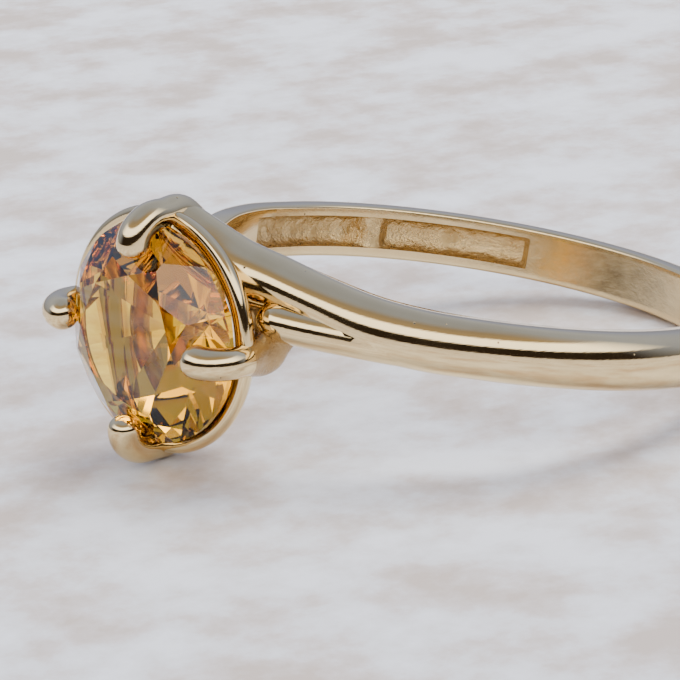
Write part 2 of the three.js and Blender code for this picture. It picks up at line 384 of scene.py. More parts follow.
def finish_piece(
    piece: bpy.types.Object,
    node: str,
    finishes: Sequence[bpy.types.Material],
    shading: Shading = Shading.BUFFED,
) -> bpy.types.Object:
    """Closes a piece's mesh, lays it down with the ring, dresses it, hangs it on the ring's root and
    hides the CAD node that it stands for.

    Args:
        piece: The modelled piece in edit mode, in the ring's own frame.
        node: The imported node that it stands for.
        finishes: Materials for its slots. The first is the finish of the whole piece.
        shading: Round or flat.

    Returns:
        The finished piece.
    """
    bpy.ops.mesh.select_all(action="SELECT")
    bpy.ops.mesh.remove_doubles(threshold=TOUCHING)
    turn_faces_out()
    pick_up(piece)
    piece.data.transform(POSE)
    for finish in finishes:
        piece.data.materials.append(finish)
    if shading is Shading.BUFFED:
        bpy.ops.object.shade_smooth_by_angle(angle=radians(BUFFED_OVER_ANGLE))
    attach(piece, "root")
    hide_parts(node)
    log.info("%s: %d faces", piece.name, len(piece.data.polygons))
    return piece


# ---- Finishes ----


def linear(hex_colour: str) -> Colour:
    """Turns an sRGB hex colour into a linear one.

    Args:
        hex_colour: Six hex digits.

    Returns:
        Red, green, blue and alpha.
    """
    parts = [int(hex_colour[i : i + 2], 16) / 255 for i in (0, 2, 4)]
    red, green, blue = (c / 12.92 if c <= 0.04045 else ((c + 0.055) / 1.055) ** 2.4 for c in parts)
    return red, green, blue, 1.0


def add_node(
    tree: bpy.types.NodeTree,
    kind: str,
    inputs: Inputs | None = None,
    stops: Sequence[tuple[float, Colour]] = (),
    **settings: object,
) -> bpy.types.Node:
    """Adds a node with its settings, values and links.

    Args:
        tree: The node tree.
        kind: The node's type name.
        inputs: Value or linked socket for each input, by name or number.
        stops: Place and colour of each stop of a colour ramp, in order.
        settings: Attributes to set on the node.

    Returns:
        The node.
    """
    made = tree.nodes.new(kind)
    for name, value in settings.items():
        setattr(made, name, value)
    for name, value in (inputs or {}).items():
        if isinstance(value, bpy.types.NodeSocket):
            tree.links.new(value, made.inputs[name])
        else:
            made.inputs[name].default_value = value
    if stops:
        ramp = made.color_ramp.elements
        for i, (place, colour) in enumerate((stops[0], stops[-1])):
            ramp[i].position = place
            ramp[i].color = colour
        for place, colour in stops[1:-1]:
            ramp.new(place).color = colour
    return made


def empty_material(name: str) -> bpy.types.Material:
    """A new material with no nodes."""
    made = bpy.data.materials.new(name)
    made.use_nodes = True
    made.node_tree.nodes.clear()
    return made


@dataclass(frozen=True)
class GoldFinish:
    """9 ct yellow gold, cast and worked. Real sizes in millimetres.

    A buffed face mirrors its surroundings in a pale straw colour. Wear lays fine hairlines round
    the band, and small casting pits show as dark specks. An unfinished casting is grainy and dull.
    """

    name: str
    straw: str = "E5CC9A"
    warm: str = "D9BE8A"
    grime: str = "4A3B26"
    roughness: float = 0.05
    haze: float = 0.13
    grain_mm: float = 0.9
    hairline_mm: float = 0.035
    hairline_stretch: float = 20.0
    hairline_depth_mm: float = 0.0009
    pit_mm: float = 0.45
    pit_depth_mm: float = 0.03
    pit_reach: tuple[float, float] = (0.03, 0.09)
    pit_free_share: float = 0.72
    cast_grain_mm: float = 0.0
    cast_depth_mm: float = 0.0

    def hairlines(self, tree: bpy.types.NodeTree, place: Socket) -> Socket:
        """Fine scratches that polishing and wear leave round the band.

        Args:
            tree: The material's node tree.
            place: Object coordinates.

        Returns:
            The normal with the scratches in it.
        """
        thin = 1 / self.hairline_stretch
        along_band = add_node(
            tree,
            "ShaderNodeMapping",
            {
                "Vector": place,
                "Rotation": (-POSE.to_euler().x, 0.0, 0.0),
                "Scale": (thin, thin, 1.0),
            },
        ).outputs["Vector"]
        scratches = add_node(
            tree,
            "ShaderNodeTexNoise",
            {"Vector": along_band, "Scale": 1 / (self.hairline_mm * MM), "Detail": 2.0},
        ).outputs["Fac"]
        return self.bump(tree, scratches, self.hairline_depth_mm)

    def pits(self, tree: bpy.types.NodeTree, place: Socket) -> Socket:
        """Casting pits: the very middle of a cell, and only in some of the cells.

        Args:
            tree: The material's node tree.
            place: Object coordinates.

        Returns:
            1 in a pit and 0 beside it.
        """
        cells = add_node(
            tree,
            "ShaderNodeTexVoronoi",
            {"Vector": place, "Scale": 1 / (self.pit_mm * MM), "Randomness": 1.0},
        )
        chosen = add_node(
            tree,
            "ShaderNodeMath",
            {0: cells.outputs["Color"], 1: self.pit_free_share},
            operation="GREATER_THAN",
        ).outputs[0]
        deep, shallow = self.pit_reach
        hole = add_node(
            tree,
            "ShaderNodeMapRange",
            {0: cells.outputs["Distance"], 1: deep, 2: shallow, 3: 1.0, 4: 0.0},
        ).outputs[0]
        return add_node(
            tree, "ShaderNodeMath", {0: chosen, 1: hole}, operation="MULTIPLY"
        ).outputs[0]

    def bump(
        self,
        tree: bpy.types.NodeTree,
        height: Socket,
        depth_mm: float,
        normal: Socket | None = None,
        sunk: bool = False,
    ) -> Socket:
        """Relief of a real depth.

        Args:
            tree: The material's node tree.
            height: The relief's height, 0 to 1.
            depth_mm: How deep the full height is.
            normal: A normal to add to.
            sunk: Whether the relief goes into the metal.

        Returns:
            The normal with the relief in it.
        """
        inputs: Inputs = {"Height": height, "Strength": 1.0, "Distance": depth_mm * MM}
        if normal is not None:
            inputs["Normal"] = normal
        return add_node(tree, "ShaderNodeBump", inputs, invert=sunk).outputs["Normal"]

    def material(self) -> bpy.types.Material:
        """Builds the finish.

        Returns:
            The material.
        """
        made = empty_material(self.name)
        tree = made.node_tree
        place = add_node(tree, "ShaderNodeTexCoord").outputs["Object"]
        clouds = add_node(
            tree,
            "ShaderNodeTexNoise",
            {"Vector": place, "Scale": 1 / (self.grain_mm * MM), "Detail": 4.0},
        ).outputs["Fac"]
        pits = self.pits(tree, place)
        metal = add_node(
            tree,
            "ShaderNodeMix",
            {0: clouds, 6: linear(self.straw), 7: linear(self.warm)},
            data_type="RGBA",
        ).outputs[2]
        colour = add_node(
            tree,
            "ShaderNodeMix",
            {0: pits, 6: metal, 7: linear(self.grime)},
            data_type="RGBA",
        ).outputs[2]
        roughness = add_node(
            tree,
            "ShaderNodeMapRange",
            {0: clouds, 1: 0.35, 2: 0.75, 3: self.roughness, 4: self.haze},
        ).outputs[0]
        scratched = self.hairlines(tree, place)
        normal = self.bump(tree, pits, self.pit_depth_mm, scratched, sunk=True)
        if self.cast_grain_mm:
            lumps = add_node(
                tree,
                "ShaderNodeTexNoise",
                {
                    "Vector": place,
                    "Scale": 1 / (self.cast_grain_mm * MM),
                    "Detail": 6.0,
                    "Roughness": 0.65,
                },
            ).outputs["Fac"]
            normal = self.bump(tree, lumps, self.cast_depth_mm, normal)
        shader = add_node(
            tree,
            "ShaderNodeBsdfPrincipled",
            {"Base Color": colour, "Metallic": 1.0, "Roughness": roughness, "Normal": normal},
        ).outputs["BSDF"]
        add_node(tree, "ShaderNodeOutputMaterial", {"Surface": shader})
        return made


@dataclass(frozen=True)
class CitrineFinish:
    """Citrine quartz, cut and polished: clear, with a honey colour that deepens with depth."""

    name: str = "cut_and_polished_citrine_quartz"
    tint: str = "FFF0B8"
    zone: str = "FFDF85"
    zone_mm: float = 3.2
    depth_colour: Colour = (0.965, 0.84, 0.05, 1.0)
    depth_per_mm: float = 0.58
    roughness: float = 0.015
    ior: float = 1.55

    def material(self) -> bpy.types.Material:
        """Builds the finish.

        Returns:
            The material.
        """
        made = empty_material(self.name)
        tree = made.node_tree
        place = add_node(tree, "ShaderNodeTexCoord").outputs["Object"]
        # Natural colour zoning: broad, soft bands of stronger and weaker honey.
        zoning = add_node(
            tree,
            "ShaderNodeTexNoise",
            {"Vector": place, "Scale": 1 / (self.zone_mm * MM), "Detail": 1.0},
        ).outputs["Fac"]
        colour = add_node(
            tree,
            "ShaderNodeMix",
            {0: zoning, 6: linear(self.tint), 7: linear(self.zone)},
            data_type="RGBA",
        ).outputs[2]
        shader = add_node(
            tree,
            "ShaderNodeBsdfPrincipled",
            {
                "Base Color": colour,
                "Metallic": 0.0,
                "Roughness": self.roughness,
                "IOR": self.ior,
                "Transmission Weight": 1.0,
            },
        ).outputs["BSDF"]
        honey = add_node(
            tree,
            "ShaderNodeVolumeAbsorption",
            {"Color": self.depth_colour, "Density": self.depth_per_mm / MM},
        ).outputs["Volume"]
        add_node(tree, "ShaderNodeOutputMaterial", {"Surface": shader, "Volume": honey})
        return made


@dataclass(frozen=True)
class Finishes:
    """The ring's materials, each built once."""

    buffed: bpy.types.Material
    hollow: bpy.types.Material
    worn: bpy.types.Material
    # Filed gold, its colour painted darker and browner as shade under the stone and basket.
    filed_gold_painted_shade: bpy.types.Material
    citrine: bpy.types.Material

    @classmethod
    def made(cls) -> "Finishes":
        """Builds all of the ring's finishes.

        Returns:
            The set of materials.
        """
        # Polished on a felt wheel: a bright mirror with crisp highlights.
        buffed = GoldFinish("cast_and_buffed_9ct_yellow_gold")
        # Straight from the mould: lumpy and dull, with small broken highlights.
        hollow = GoldFinish(
            "as_cast_9ct_gold_in_the_hollow_back",
            straw="DFC694",
            warm="BFA06A",
            roughness=0.16,
            haze=0.34,
            cast_grain_mm=0.75,
            cast_depth_mm=0.22,
        )
        # Rubbed by the finger: a soft, even glow in which nothing mirrors sharply.
        worn = GoldFinish(
            "worn_9ct_gold_next_to_the_finger",
            warm="DFC592",
            roughness=0.2,
            haze=0.28,
            hairline_depth_mm=0.0005,
            cast_grain_mm=1.8,
            cast_depth_mm=0.02,
        )
        # Filed but out of the wheel's reach, with blurred reflections. Its browner, darker colour is
        # painted shade from the stone and basket above it.
        filed_gold_painted_shade = GoldFinish(
            "filed_9ct_gold_with_painted_shade_under_the_basket",
            straw="BFA273",
            warm="8E7048",
            roughness=0.18,
            haze=0.34,
            cast_grain_mm=0.5,
            cast_depth_mm=0.05,
        )
        gold = (finish.material() for finish in (buffed, hollow, worn, filed_gold_painted_shade))
        return cls(*gold, CitrineFinish().material())


# ---- Band ----


@dataclass(frozen=True)
class BandProfile:
    """The band's D section: flat sides, small rounded lips, a dome and a scooped back."""

    side: float = 0.6
    lip: float = 0.12
    lip_turns: tuple[float, ...] = (0.4, 0.9, pi / 2)
    scoop_share: float = 0.30
    scoop_across: tuple[float, ...] = (1.0, 0.97, 0.84, 0.58, 0.25)
    scoop_depths: tuple[float, ...] = (0.0, 0.34, 0.66, 0.9, 1.0)
    dome_steps: int = 24

    def outline(
        self, width: float, thickness: float, hollow: float = 0.0, crest: float = 1.0
    ) -> Section:
        """The outline, as pairs of outwards and along the finger.

        Args:
            width: Along the finger.
            thickness: From the finger hole to the crown of the D.
            hollow: Depth scooped out of the back.
            crest: 1 for a round dome, more for one that rises to a ridge.

        Returns:
            The outline's points in order.
        """
        half = width / 2
        side = min(self.side, thickness / 2)
        scoop = self.scoop_share * width
        rim = half - self.lip
        back = [(0.0, -rim), (0.0, -lerp(scoop, rim, 0.4))]
        back += [(hollow * d, -scoop * a) for a, d in zip(self.scoop_across, self.scoop_depths)]
        inside = back + [(out, -along) for out, along in reversed(back)]
        corner = [
            (self.lip * (1 - cos(t)), rim + self.lip * sin(t)) for t in self.lip_turns
        ]
        turns = [pi * i / self.dome_steps for i in range(self.dome_steps + 1)]
        dome = [(side + (thickness - side) * sin(t) ** crest, half * cos(t)) for t in turns]
        far_corner = [(out, -along) for out, along in reversed(corner)]
        return inside + corner + dome + far_corner


def set_in_ring(section: Section, angle: float, radius: float) -> Loop:
    """Stands a section up at an angle round the finger hole."""
    return [polar(angle, radius + out, along) for out, along in section]


class BandSlot(IntEnum):
    """Material slots of a length of band."""

    BUFFED = 0
    HOLLOW = 1
    WORN = 2


@dataclass(frozen=True)
class HollowBack:
    """The scooped, as-cast hollow inside the band, with a cross rib. Degrees from the back."""

    start: float = 50.0
    end_over: float = 117.0
    end_under: float = 126.0
    soft_end: float = 2.0
    depth: float = 0.6
    rib_at: float = 88.5
    rib_from: float = 1.5
    rib_to: float = 4.5
    rib_share: float = 0.85
    unevenness: float = 0.2
    lumps_per_degree: float = 0.35
    skin: float = 0.01
    floor_from: float = 0.03
    floor_to: float = 0.78

    def end_at(self, angle: float) -> float:
        """Where the hollow ends, on the side of the ring that the angle lies on."""
        return self.end_over if angle > 0 else self.end_under

    def depth_at(self, angle: float) -> float:
        """Depth of the hollow at an angle.

        Args:
            angle: Degrees from the back, positive towards the arm that goes over.

        Returns:
            Depth in millimetres, uneven as a casting's is.
        """
        off, end = abs(angle), self.end_at(angle)
        inside = smoothstep(off, self.start, self.start + self.soft_end)
        inside *= 1 - smoothstep(off, end - self.soft_end, end)
        rib = 1 - smoothstep(abs(off - self.rib_at), self.rib_from, self.rib_to)
        lumps = noise.noise(Vector((angle * self.lumps_per_degree, 4.0, 0.0)))
        return self.depth * inside * (1 + self.unevenness * lumps) * (1 - self.rib_share * rib)

    def dress(self, piece: bpy.types.Object) -> None:
        """Gives a piece's scooped faces the second finish and its other inner faces the third.

        Args:
            piece: A length of band in edit mode, in the ring's own frame.
        """
        mesh = bmesh.from_edit_mesh(piece.data)
        reach = PROFILE.scoop_share * SIZES.band_width
        for face in mesh.faces:
            middle = face.calc_center_median()
            beyond = Vector((middle.x, middle.y)).length - SIZES.hole_radius
            angle = degrees(atan2(middle.x, middle.y))
            past_end = abs(angle) > self.end_at(angle)
            if len(face.verts) != 4 or past_end or beyond > self.floor_to:
                continue
            if abs(middle.z) < reach and beyond > self.floor_from:
                face.material_index = BandSlot.HOLLOW
            elif beyond < self.skin:
                face.material_index = BandSlot.WORN
        bmesh.update_edit_mesh(piece.data)


PROFILE = BandProfile()
HOLLOW = HollowBack()


@dataclass
class Shank:
    """The band's back and sides: a D outside, with the hollow inside."""

    step: float = 1.0

    def build(self, finishes: Finishes) -> bpy.types.Object:
        """Models and dresses the shank.

        Args:
            finishes: The ring's materials.

        Returns:
            The finished shank.
        """
        count = int(2 * SIZES.half_sweep / self.step)
        sections = []
        for i in range(count + 1):
            angle = lerp(-SIZES.half_sweep, SIZES.half_sweep, i / count)
            depth = HOLLOW.depth_at(angle)
            section = PROFILE.outline(SIZES.band_width, SIZES.band_thickness, depth)
            sections.append(set_in_ring(section, angle, SIZES.hole_radius))
        piece = rod("shank", sections)
        HOLLOW.dress(piece)
        return finish_piece(piece, "shank", [finishes.buffed, finishes.hollow, finishes.worn])


# ---- Arms ----


class Station(NamedTuple):
    """The arm's section at one place: sizes in millimetres, lean in degrees."""

    share: float  # of the way round from the shank to the head
    beyond: float  # from the finger hole's wall to the inner face
    rise: float  # along the finger
    width: float
    thickness: float
    lean: float
    crest: float = 1.0


@dataclass
class Arm:
    """One arm, from the shank to its claw, with a domed end."""

    name: str
    side: Side
    stations: tuple[Station, ...]
    steps: int = 84
    end_dome: tuple[tuple[float, float], ...] = (
        (0.006, 0.97),
        (0.014, 0.86),
        (0.02, 0.66),
        (0.024, 0.36),
    )

    def sections(self) -> list[Loop]:
        """Sections from the shank to the claw.

        Returns:
            The sections in order, the last few shrinking to the domed end.
        """
        sign = self.side.value
        reach = 180 - sign * SIZES.head_place - SIZES.half_sweep
        rows = [Station(*row) for row in smooth_row(self.stations, self.steps)]
        last = rows[-1]
        for step, size in self.end_dome:
            smaller = {"width": last.width * size, "thickness": last.thickness * size}
            rows.append(last._replace(share=last.share + step, **smaller))
        result = []
        for row in rows:
            middle = last.thickness / 2 if row.share > last.share else row.thickness / 2
            angle = sign * (SIZES.half_sweep + row.share * reach)
            c, s = cos(radians(row.lean)), sin(radians(row.lean))
            leaning = []
            depth = HOLLOW.depth_at(angle)
            for out, along in PROFILE.outline(row.width, row.thickness, depth, row.crest):
                out -= row.thickness / 2
                leaning.append(
                    (middle + out * c - along * s, sign * (row.rise + out * s + along * c))
                )
            result.append(set_in_ring(leaning, angle, SIZES.hole_radius + row.beyond))
        return result

    def build(self, finishes: Finishes) -> bpy.types.Object:
        """Models and dresses the arm.

        Args:
            finishes: The ring's materials.

        Returns:
            The finished arm.
        """
        piece = rod(self.name, self.sections())
        self.add_to(piece)
        HOLLOW.dress(piece)
        return finish_piece(piece, self.name, [finishes.buffed, finishes.hollow, finishes.worn])

    def add_to(self, piece: bpy.types.Object) -> None:
        """Adds what only one of the arms has. A plain arm has nothing."""


@dataclass
class UnderArm(Arm):
    """The far arm, which dips under the head to the bottom claw."""

    name: str = "arm_under"
    side: Side = Side.UNDER
    stations: tuple[Station, ...] = (
        Station(0, 0, 0, 1.9, 1.35, 0),
        Station(0.18, 0, 0, 1.93, 1.35, 2),
        Station(0.36, 0, 0.2, 2.05, 1.36, 6),
        Station(0.52, 0.1, 0.9, 2.2, 1.38, 14, 1.1),
        Station(0.66, 0.35, 2.0, 2.4, 1.38, 24, 1.2),
        Station(0.79, 0.8, 3.2, 2.3, 1.32, 38, 1.2),
        Station(0.9, 1.4, 4.3, 2.0, 1.2, 52, 1.1),
        Station(0.98, 2.0, 5.0, 1.5, 1.0, 62),
    )


@dataclass
class OverArm(Arm):
    """The near arm, which rises over the head in a ridge and leaves a round-ended lobe below."""

    name: str = "arm_over"
    side: Side = Side.OVER
    stations: tuple[Station, ...] = (
        Station(0, 0, 0, 1.9, 1.35, 0),
        Station(0.18, 0, 0, 1.93, 1.35, 2),
        Station(0.36, 0, 0.1, 1.95, 1.36, 6, 1.05),
        Station(0.54, 0.1, 0.45, 1.8, 1.38, 12, 1.25),
        Station(0.7, 0.45, 0.78, 1.86, 1.38, 22, 1.45),
        Station(0.83, 1.15, 1.08, 2.0, 1.32, 36, 1.4),
        Station(0.92, 1.9, 1.6, 1.95, 1.25, 48, 1.2),
        Station(0.975, 2.35, 2.0, 1.75, 1.15, 58),
    )
    # Degrees from the back, distance beyond the finger hole's wall, and rise.
    lobe: tuple[tuple[float, float, float], ...] = (
        (120, 0.62, -0.28),
        (131, 0.68, -0.33),
        (142, 0.9, -0.36),
        (150, 1.25, -0.36),
        (156, 1.7, -0.3),
    )
    lobe_radius: float = 0.6
    lobe_flatness: float = 1.05
    lobe_round_end: float = 0.16
    lobe_steps: int = 40

    def lobe_radii(self, share: float) -> tuple[float, float]:
        """The lobe's two half sizes at a share of its length."""
        round_end = self.lobe_radius * domed((1 - share) / self.lobe_round_end)
        return round_end, round_end * self.lobe_flatness

    def add_to(self, piece: bpy.types.Object) -> None:
        """Joins the lower lobe to the arm.

        Args:
            piece: The arm in edit mode. It is left in edit mode.
        """
        turn_faces_out()
        stations = [polar(angle, SIZES.hole_radius + b, rise) for angle, b, rise in self.lobe]
        sections = wire_sections(stations, Vector((0, 0, 1)), self.lobe_radii, self.lobe_steps)
        lobe = rod("arm_lobe", sections)
        turn_faces_out()
        pick_up(piece)
        union = piece.modifiers.new("lobe", "BOOLEAN")
        union.operation = "UNION"
        union.solver = "EXACT"
        union.object = lobe
        bpy.ops.object.modifier_apply(modifier=union.name)
        bpy.data.objects.remove(lobe)
        bpy.ops.object.mode_set(mode="EDIT")


# ---- Basket ----


@dataclass
class Claw:
    """A claw of the basket: a wire that grips the crown with a round bead.

    The turn is degrees round the stone from the near side, towards the top.
    """

    name: str
    turn: float
    radius: float = 0.49
    bead_radius: float = 0.57
    bead_height: float = 1.0
    lap: float = 0.46
    stand: float = 0.28
    bead_taper: float = 1.8
    bead_round_end: float = 0.09

    def line(self) -> list[Vector]:
        """Middle of the wire from the bead down to the level of the bearing rail.

        Returns:
            Places in the ring's own frame.
        """
        c, s = cos(radians(self.turn)), sin(radians(self.turn))
        steps = [
            (-self.lap - 0.55, self.bead_height + 0.1),
            (-self.lap * 0.5, self.bead_height),
            (self.stand * 0.7, self.bead_height - 0.5),
            (self.stand, -0.15),
            (self.stand * 0.7, -1.2),
        ]
        return [
            HEAD.at(
                c * (SIZES.stone_half_width + grow), out, s * (SIZES.stone_half_height + grow)
            )
            for grow, out in steps
        ]

    def gripping(self, share: float) -> float:
        """Radius of the wire and its bead at a share of its length."""
        radius = lerp(self.bead_radius, self.radius, min(1.0, share * self.bead_taper))
        return radius * domed(share / self.bead_round_end)


@dataclass
class UprightClaw(Claw):
    """The claw at the top or the bottom, which runs down behind the stone to the base rail."""

    foot_out: float = 0.25
    foot_height: float = 2.2
    foot_round_end: float = 0.06

    def radii(self, share: float) -> tuple[float, float]:
        """The wire's two half sizes at a share of its length."""
        size = self.gripping(share) * domed((1 - share) / self.foot_round_end)
        return size, size

    def build(self, finishes: Finishes) -> bpy.types.Object:
        """Models and dresses the claw.

        Args:
            finishes: The ring's materials.

        Returns:
            The finished claw.
        """
        side = 1 if sin(radians(self.turn)) > 0 else -1
        stations = [*self.line(), BASE.at(0, self.foot_out, side * self.foot_height)]
        piece = rod(self.name, wire_sections(stations, HEAD.across, self.radii, WIRE_STEPS))
        return finish_piece(piece, self.name, [finishes.buffed])


@dataclass
class LeafClaw(Claw):
    """A side claw. Behind the stone its wire spreads into a leaf that ends in a point.

    Each place on the leaf is across the head, out of it and along the finger.
    """

    leaf: tuple[tuple[float, float, float], ...] = ()
    spread_from: float = 0.4
    spread_to: float = 0.72
    taper_from: float = 0.62
    taper: float = 0.88
    leaf_thinning: float = 0.25
    leaf_widening: float = 0.65
    buffed_share: float = 0.45

    def radii(self, share: float) -> tuple[float, float]:
        """The wire's two half sizes at a share of its length.

        Args:
            share: 0 at the bead, 1 at the leaf's point.

        Returns:
            Half its thickness and half its width along the finger.
        """
        spread = smoothstep(share, self.spread_from, self.spread_to)
        point = 1 - self.taper * smoothstep(share, self.taper_from, 1)
        size = self.gripping(share) * point
        return size * (1 - self.leaf_thinning * spread), size * (1 + self.leaf_widening * spread)

    def build(self, finishes: Finishes) -> bpy.types.Object:
        """Models and dresses the claw. Its leaf gets the filed finish of places a wheel can't reach,
        painted darker and browner as shade under the stone.

        Args:
            finishes: The ring's materials.

        Returns:
            The finished claw.
        """
        side = 1 if cos(radians(self.turn)) > 0 else -1
        stations = [*self.line(), *(HEAD.at(side * a, out, up) for a, out, up in self.leaf)]
        piece = rod(self.name, wire_sections(stations, HEAD.along, self.radii, WIRE_STEPS))
        mesh = bmesh.from_edit_mesh(piece.data)
        mesh.verts.index_update()
        for face in mesh.faces:
            section = min(vertex.index for vertex in face.verts) // WIRE_SIDES
            # Faces past the buffed share, on the leaf behind the stone, get the filed gold with
            # painted shade.
            face.material_index = int(section >= self.buffed_share * WIRE_STEPS)
        bmesh.update_edit_mesh(piece.data)
        return finish_piece(piece, self.name, [finishes.buffed, finishes.filed_gold_painted_shade])


@dataclass
class Rail:
    """An oval rail of oval wire round the basket.

    The lean turns the wire's long axis, in degrees from across the head.
    """

    name: str
    placing: Placing
    depth: float
    half_width: float
    half_height: float
    half_long: float
    half_thin: float
    lean: float
    steps: int = 120
    sides: int = 20

    def section(self, turn: float) -> Loop:
        """The wire's section at a turn round the basket.

        Args:
            turn: Radians.

        Returns:
            The section's points in order.
        """
        c, s = cos(radians(self.lean)), sin(radians(self.lean))
        loop = []
        for i in range(self.sides):
            roll = 2 * pi * i / self.sides
            long, thin = self.half_long * cos(roll), self.half_thin * sin(roll)
            across = long * c - thin * s
            out = long * s + thin * c - self.depth
            wide = (self.half_width + across) * cos(turn)
            loop.append(self.placing.at(wide, out, (self.half_height + across) * sin(turn)))
        return loop

    def build(self, finish: bpy.types.Material) -> bpy.types.Object:
        """Models and dresses the rail.

        Args:
            finish: Its material.

        Returns:
            The finished rail.
        """
        sections = [self.section(2 * pi * i / self.steps) for i in range(self.steps)]
        return finish_piece(hoop(self.name, sections), self.name, [finish])


# ---- Stone ----


class Facet(NamedTuple):
    """One flat to cut: its slope from the girdle plane, its turn and a point on it. Radians."""

    slope: float
    turn: float
    point: Vector

    @property
    def normal(self) -> Vector:
        """Direction that the facet faces."""
        level = sin(self.slope)
        return Vector((level * cos(self.turn), level * sin(self.turn), cos(self.slope)))


@dataclass
class CutStone:
    """A round brilliant cut: facets are ground off a blank one plane at a time.

    Slopes are degrees from the girdle plane.
    """

    radius: float = 3.65
    crown: float = 1.15
    girdle: float = 0.2
    pavilion: float = 2.6
    table_share: float = 0.58
    mains: int = 8
    star_slope: float = 20.0
    upper_girdle_slope: float = 43.0
    lower_girdle_slope: float = 37.5
    girdle_cut_share: float = 0.995
    blank_sides: int = 96
    flat_within: float = 0.2

    def edge(self, turn: float, radius: float, height: float) -> Vector:
        """A point round the stone's axis."""
        return Vector((radius * cos(turn), radius * sin(turn), height))

    def facets(self) -> list[Facet]:
        """The facets in the order a cutter works.

        Returns:
            Mains of pavilion and crown in pairs, then the girdle facets, then the stars.
        """
        half = self.girdle / 2
        table = self.table_share * self.radius
        crown_slope = atan2(self.crown, self.radius - table)
        pavilion_slope = atan2(self.pavilion, self.radius)
        lower, upper = radians(self.lower_girdle_slope), radians(self.upper_girdle_slope)
        near_girdle = self.radius * self.girdle_cut_share
        facets = []
        for k in range(self.mains):
            turn = k * 2 * pi / self.mains
            below = self.edge(turn, self.radius, -half)
            facets.append(Facet(pi - pavilion_slope, turn, below))
            facets.append(Facet(crown_slope, turn, self.edge(turn, self.radius, half)))
        for k in range(2 * self.mains):
            turn = (k + 0.5) * pi / self.mains
            facets.append(Facet(pi - lower, turn, self.edge(turn, near_girdle, -half)))
            facets.append(Facet(upper, turn, self.edge(turn, near_girdle, half)))
        for k in range(self.mains):
            turn = (k + 0.5) * 2 * pi / self.mains
            on_table = self.edge(turn, table * cos(pi / self.mains), half + self.crown)
            facets.append(Facet(radians(self.star_slope), turn, on_table))
        return facets

    def build(self, finishes: Finishes) -> bpy.types.Object:
        """Cuts and dresses the stone.

        Args:
            finishes: The ring's materials.

        Returns:
            The finished stone.
        """
        clear_selection()
        half = self.girdle / 2
        top, bottom = half + self.crown, -half - self.pavilion
        bpy.ops.mesh.primitive_cylinder_add(
            vertices=self.blank_sides,
            radius=self.radius,
            depth=top - bottom,
            location=(0, 0, (top + bottom) / 2),
        )
        piece = bpy.context.object
        piece.name = "stone"
        bpy.ops.object.transform_apply(location=True)
        bpy.ops.object.mode_set(mode="EDIT")
        for facet in self.facets():
            bpy.ops.mesh.select_all(action="SELECT")
            bpy.ops.mesh.bisect(
                plane_co=facet.point,
                plane_no=facet.normal,
                use_fill=True,
                clear_outer=True,
                threshold=1e-5,
            )
        bpy.ops.mesh.select_all(action="SELECT")
        bpy.ops.mesh.dissolve_limited(angle_limit=radians(self.flat_within))
        bpy.ops.object.mode_set(mode="OBJECT")
        across = SIZES.stone_half_width / self.radius
        along = SIZES.stone_half_height / self.radius
        for vertex in piece.data.vertices:
            x, y, z = vertex.co
            vertex.co = HEAD.at(x * across, z, y * along)
        bpy.ops.object.mode_set(mode="EDIT")
        return finish_piece(piece, "stone", [finishes.citrine], Shading.FACETED)


# ---- Studio ----


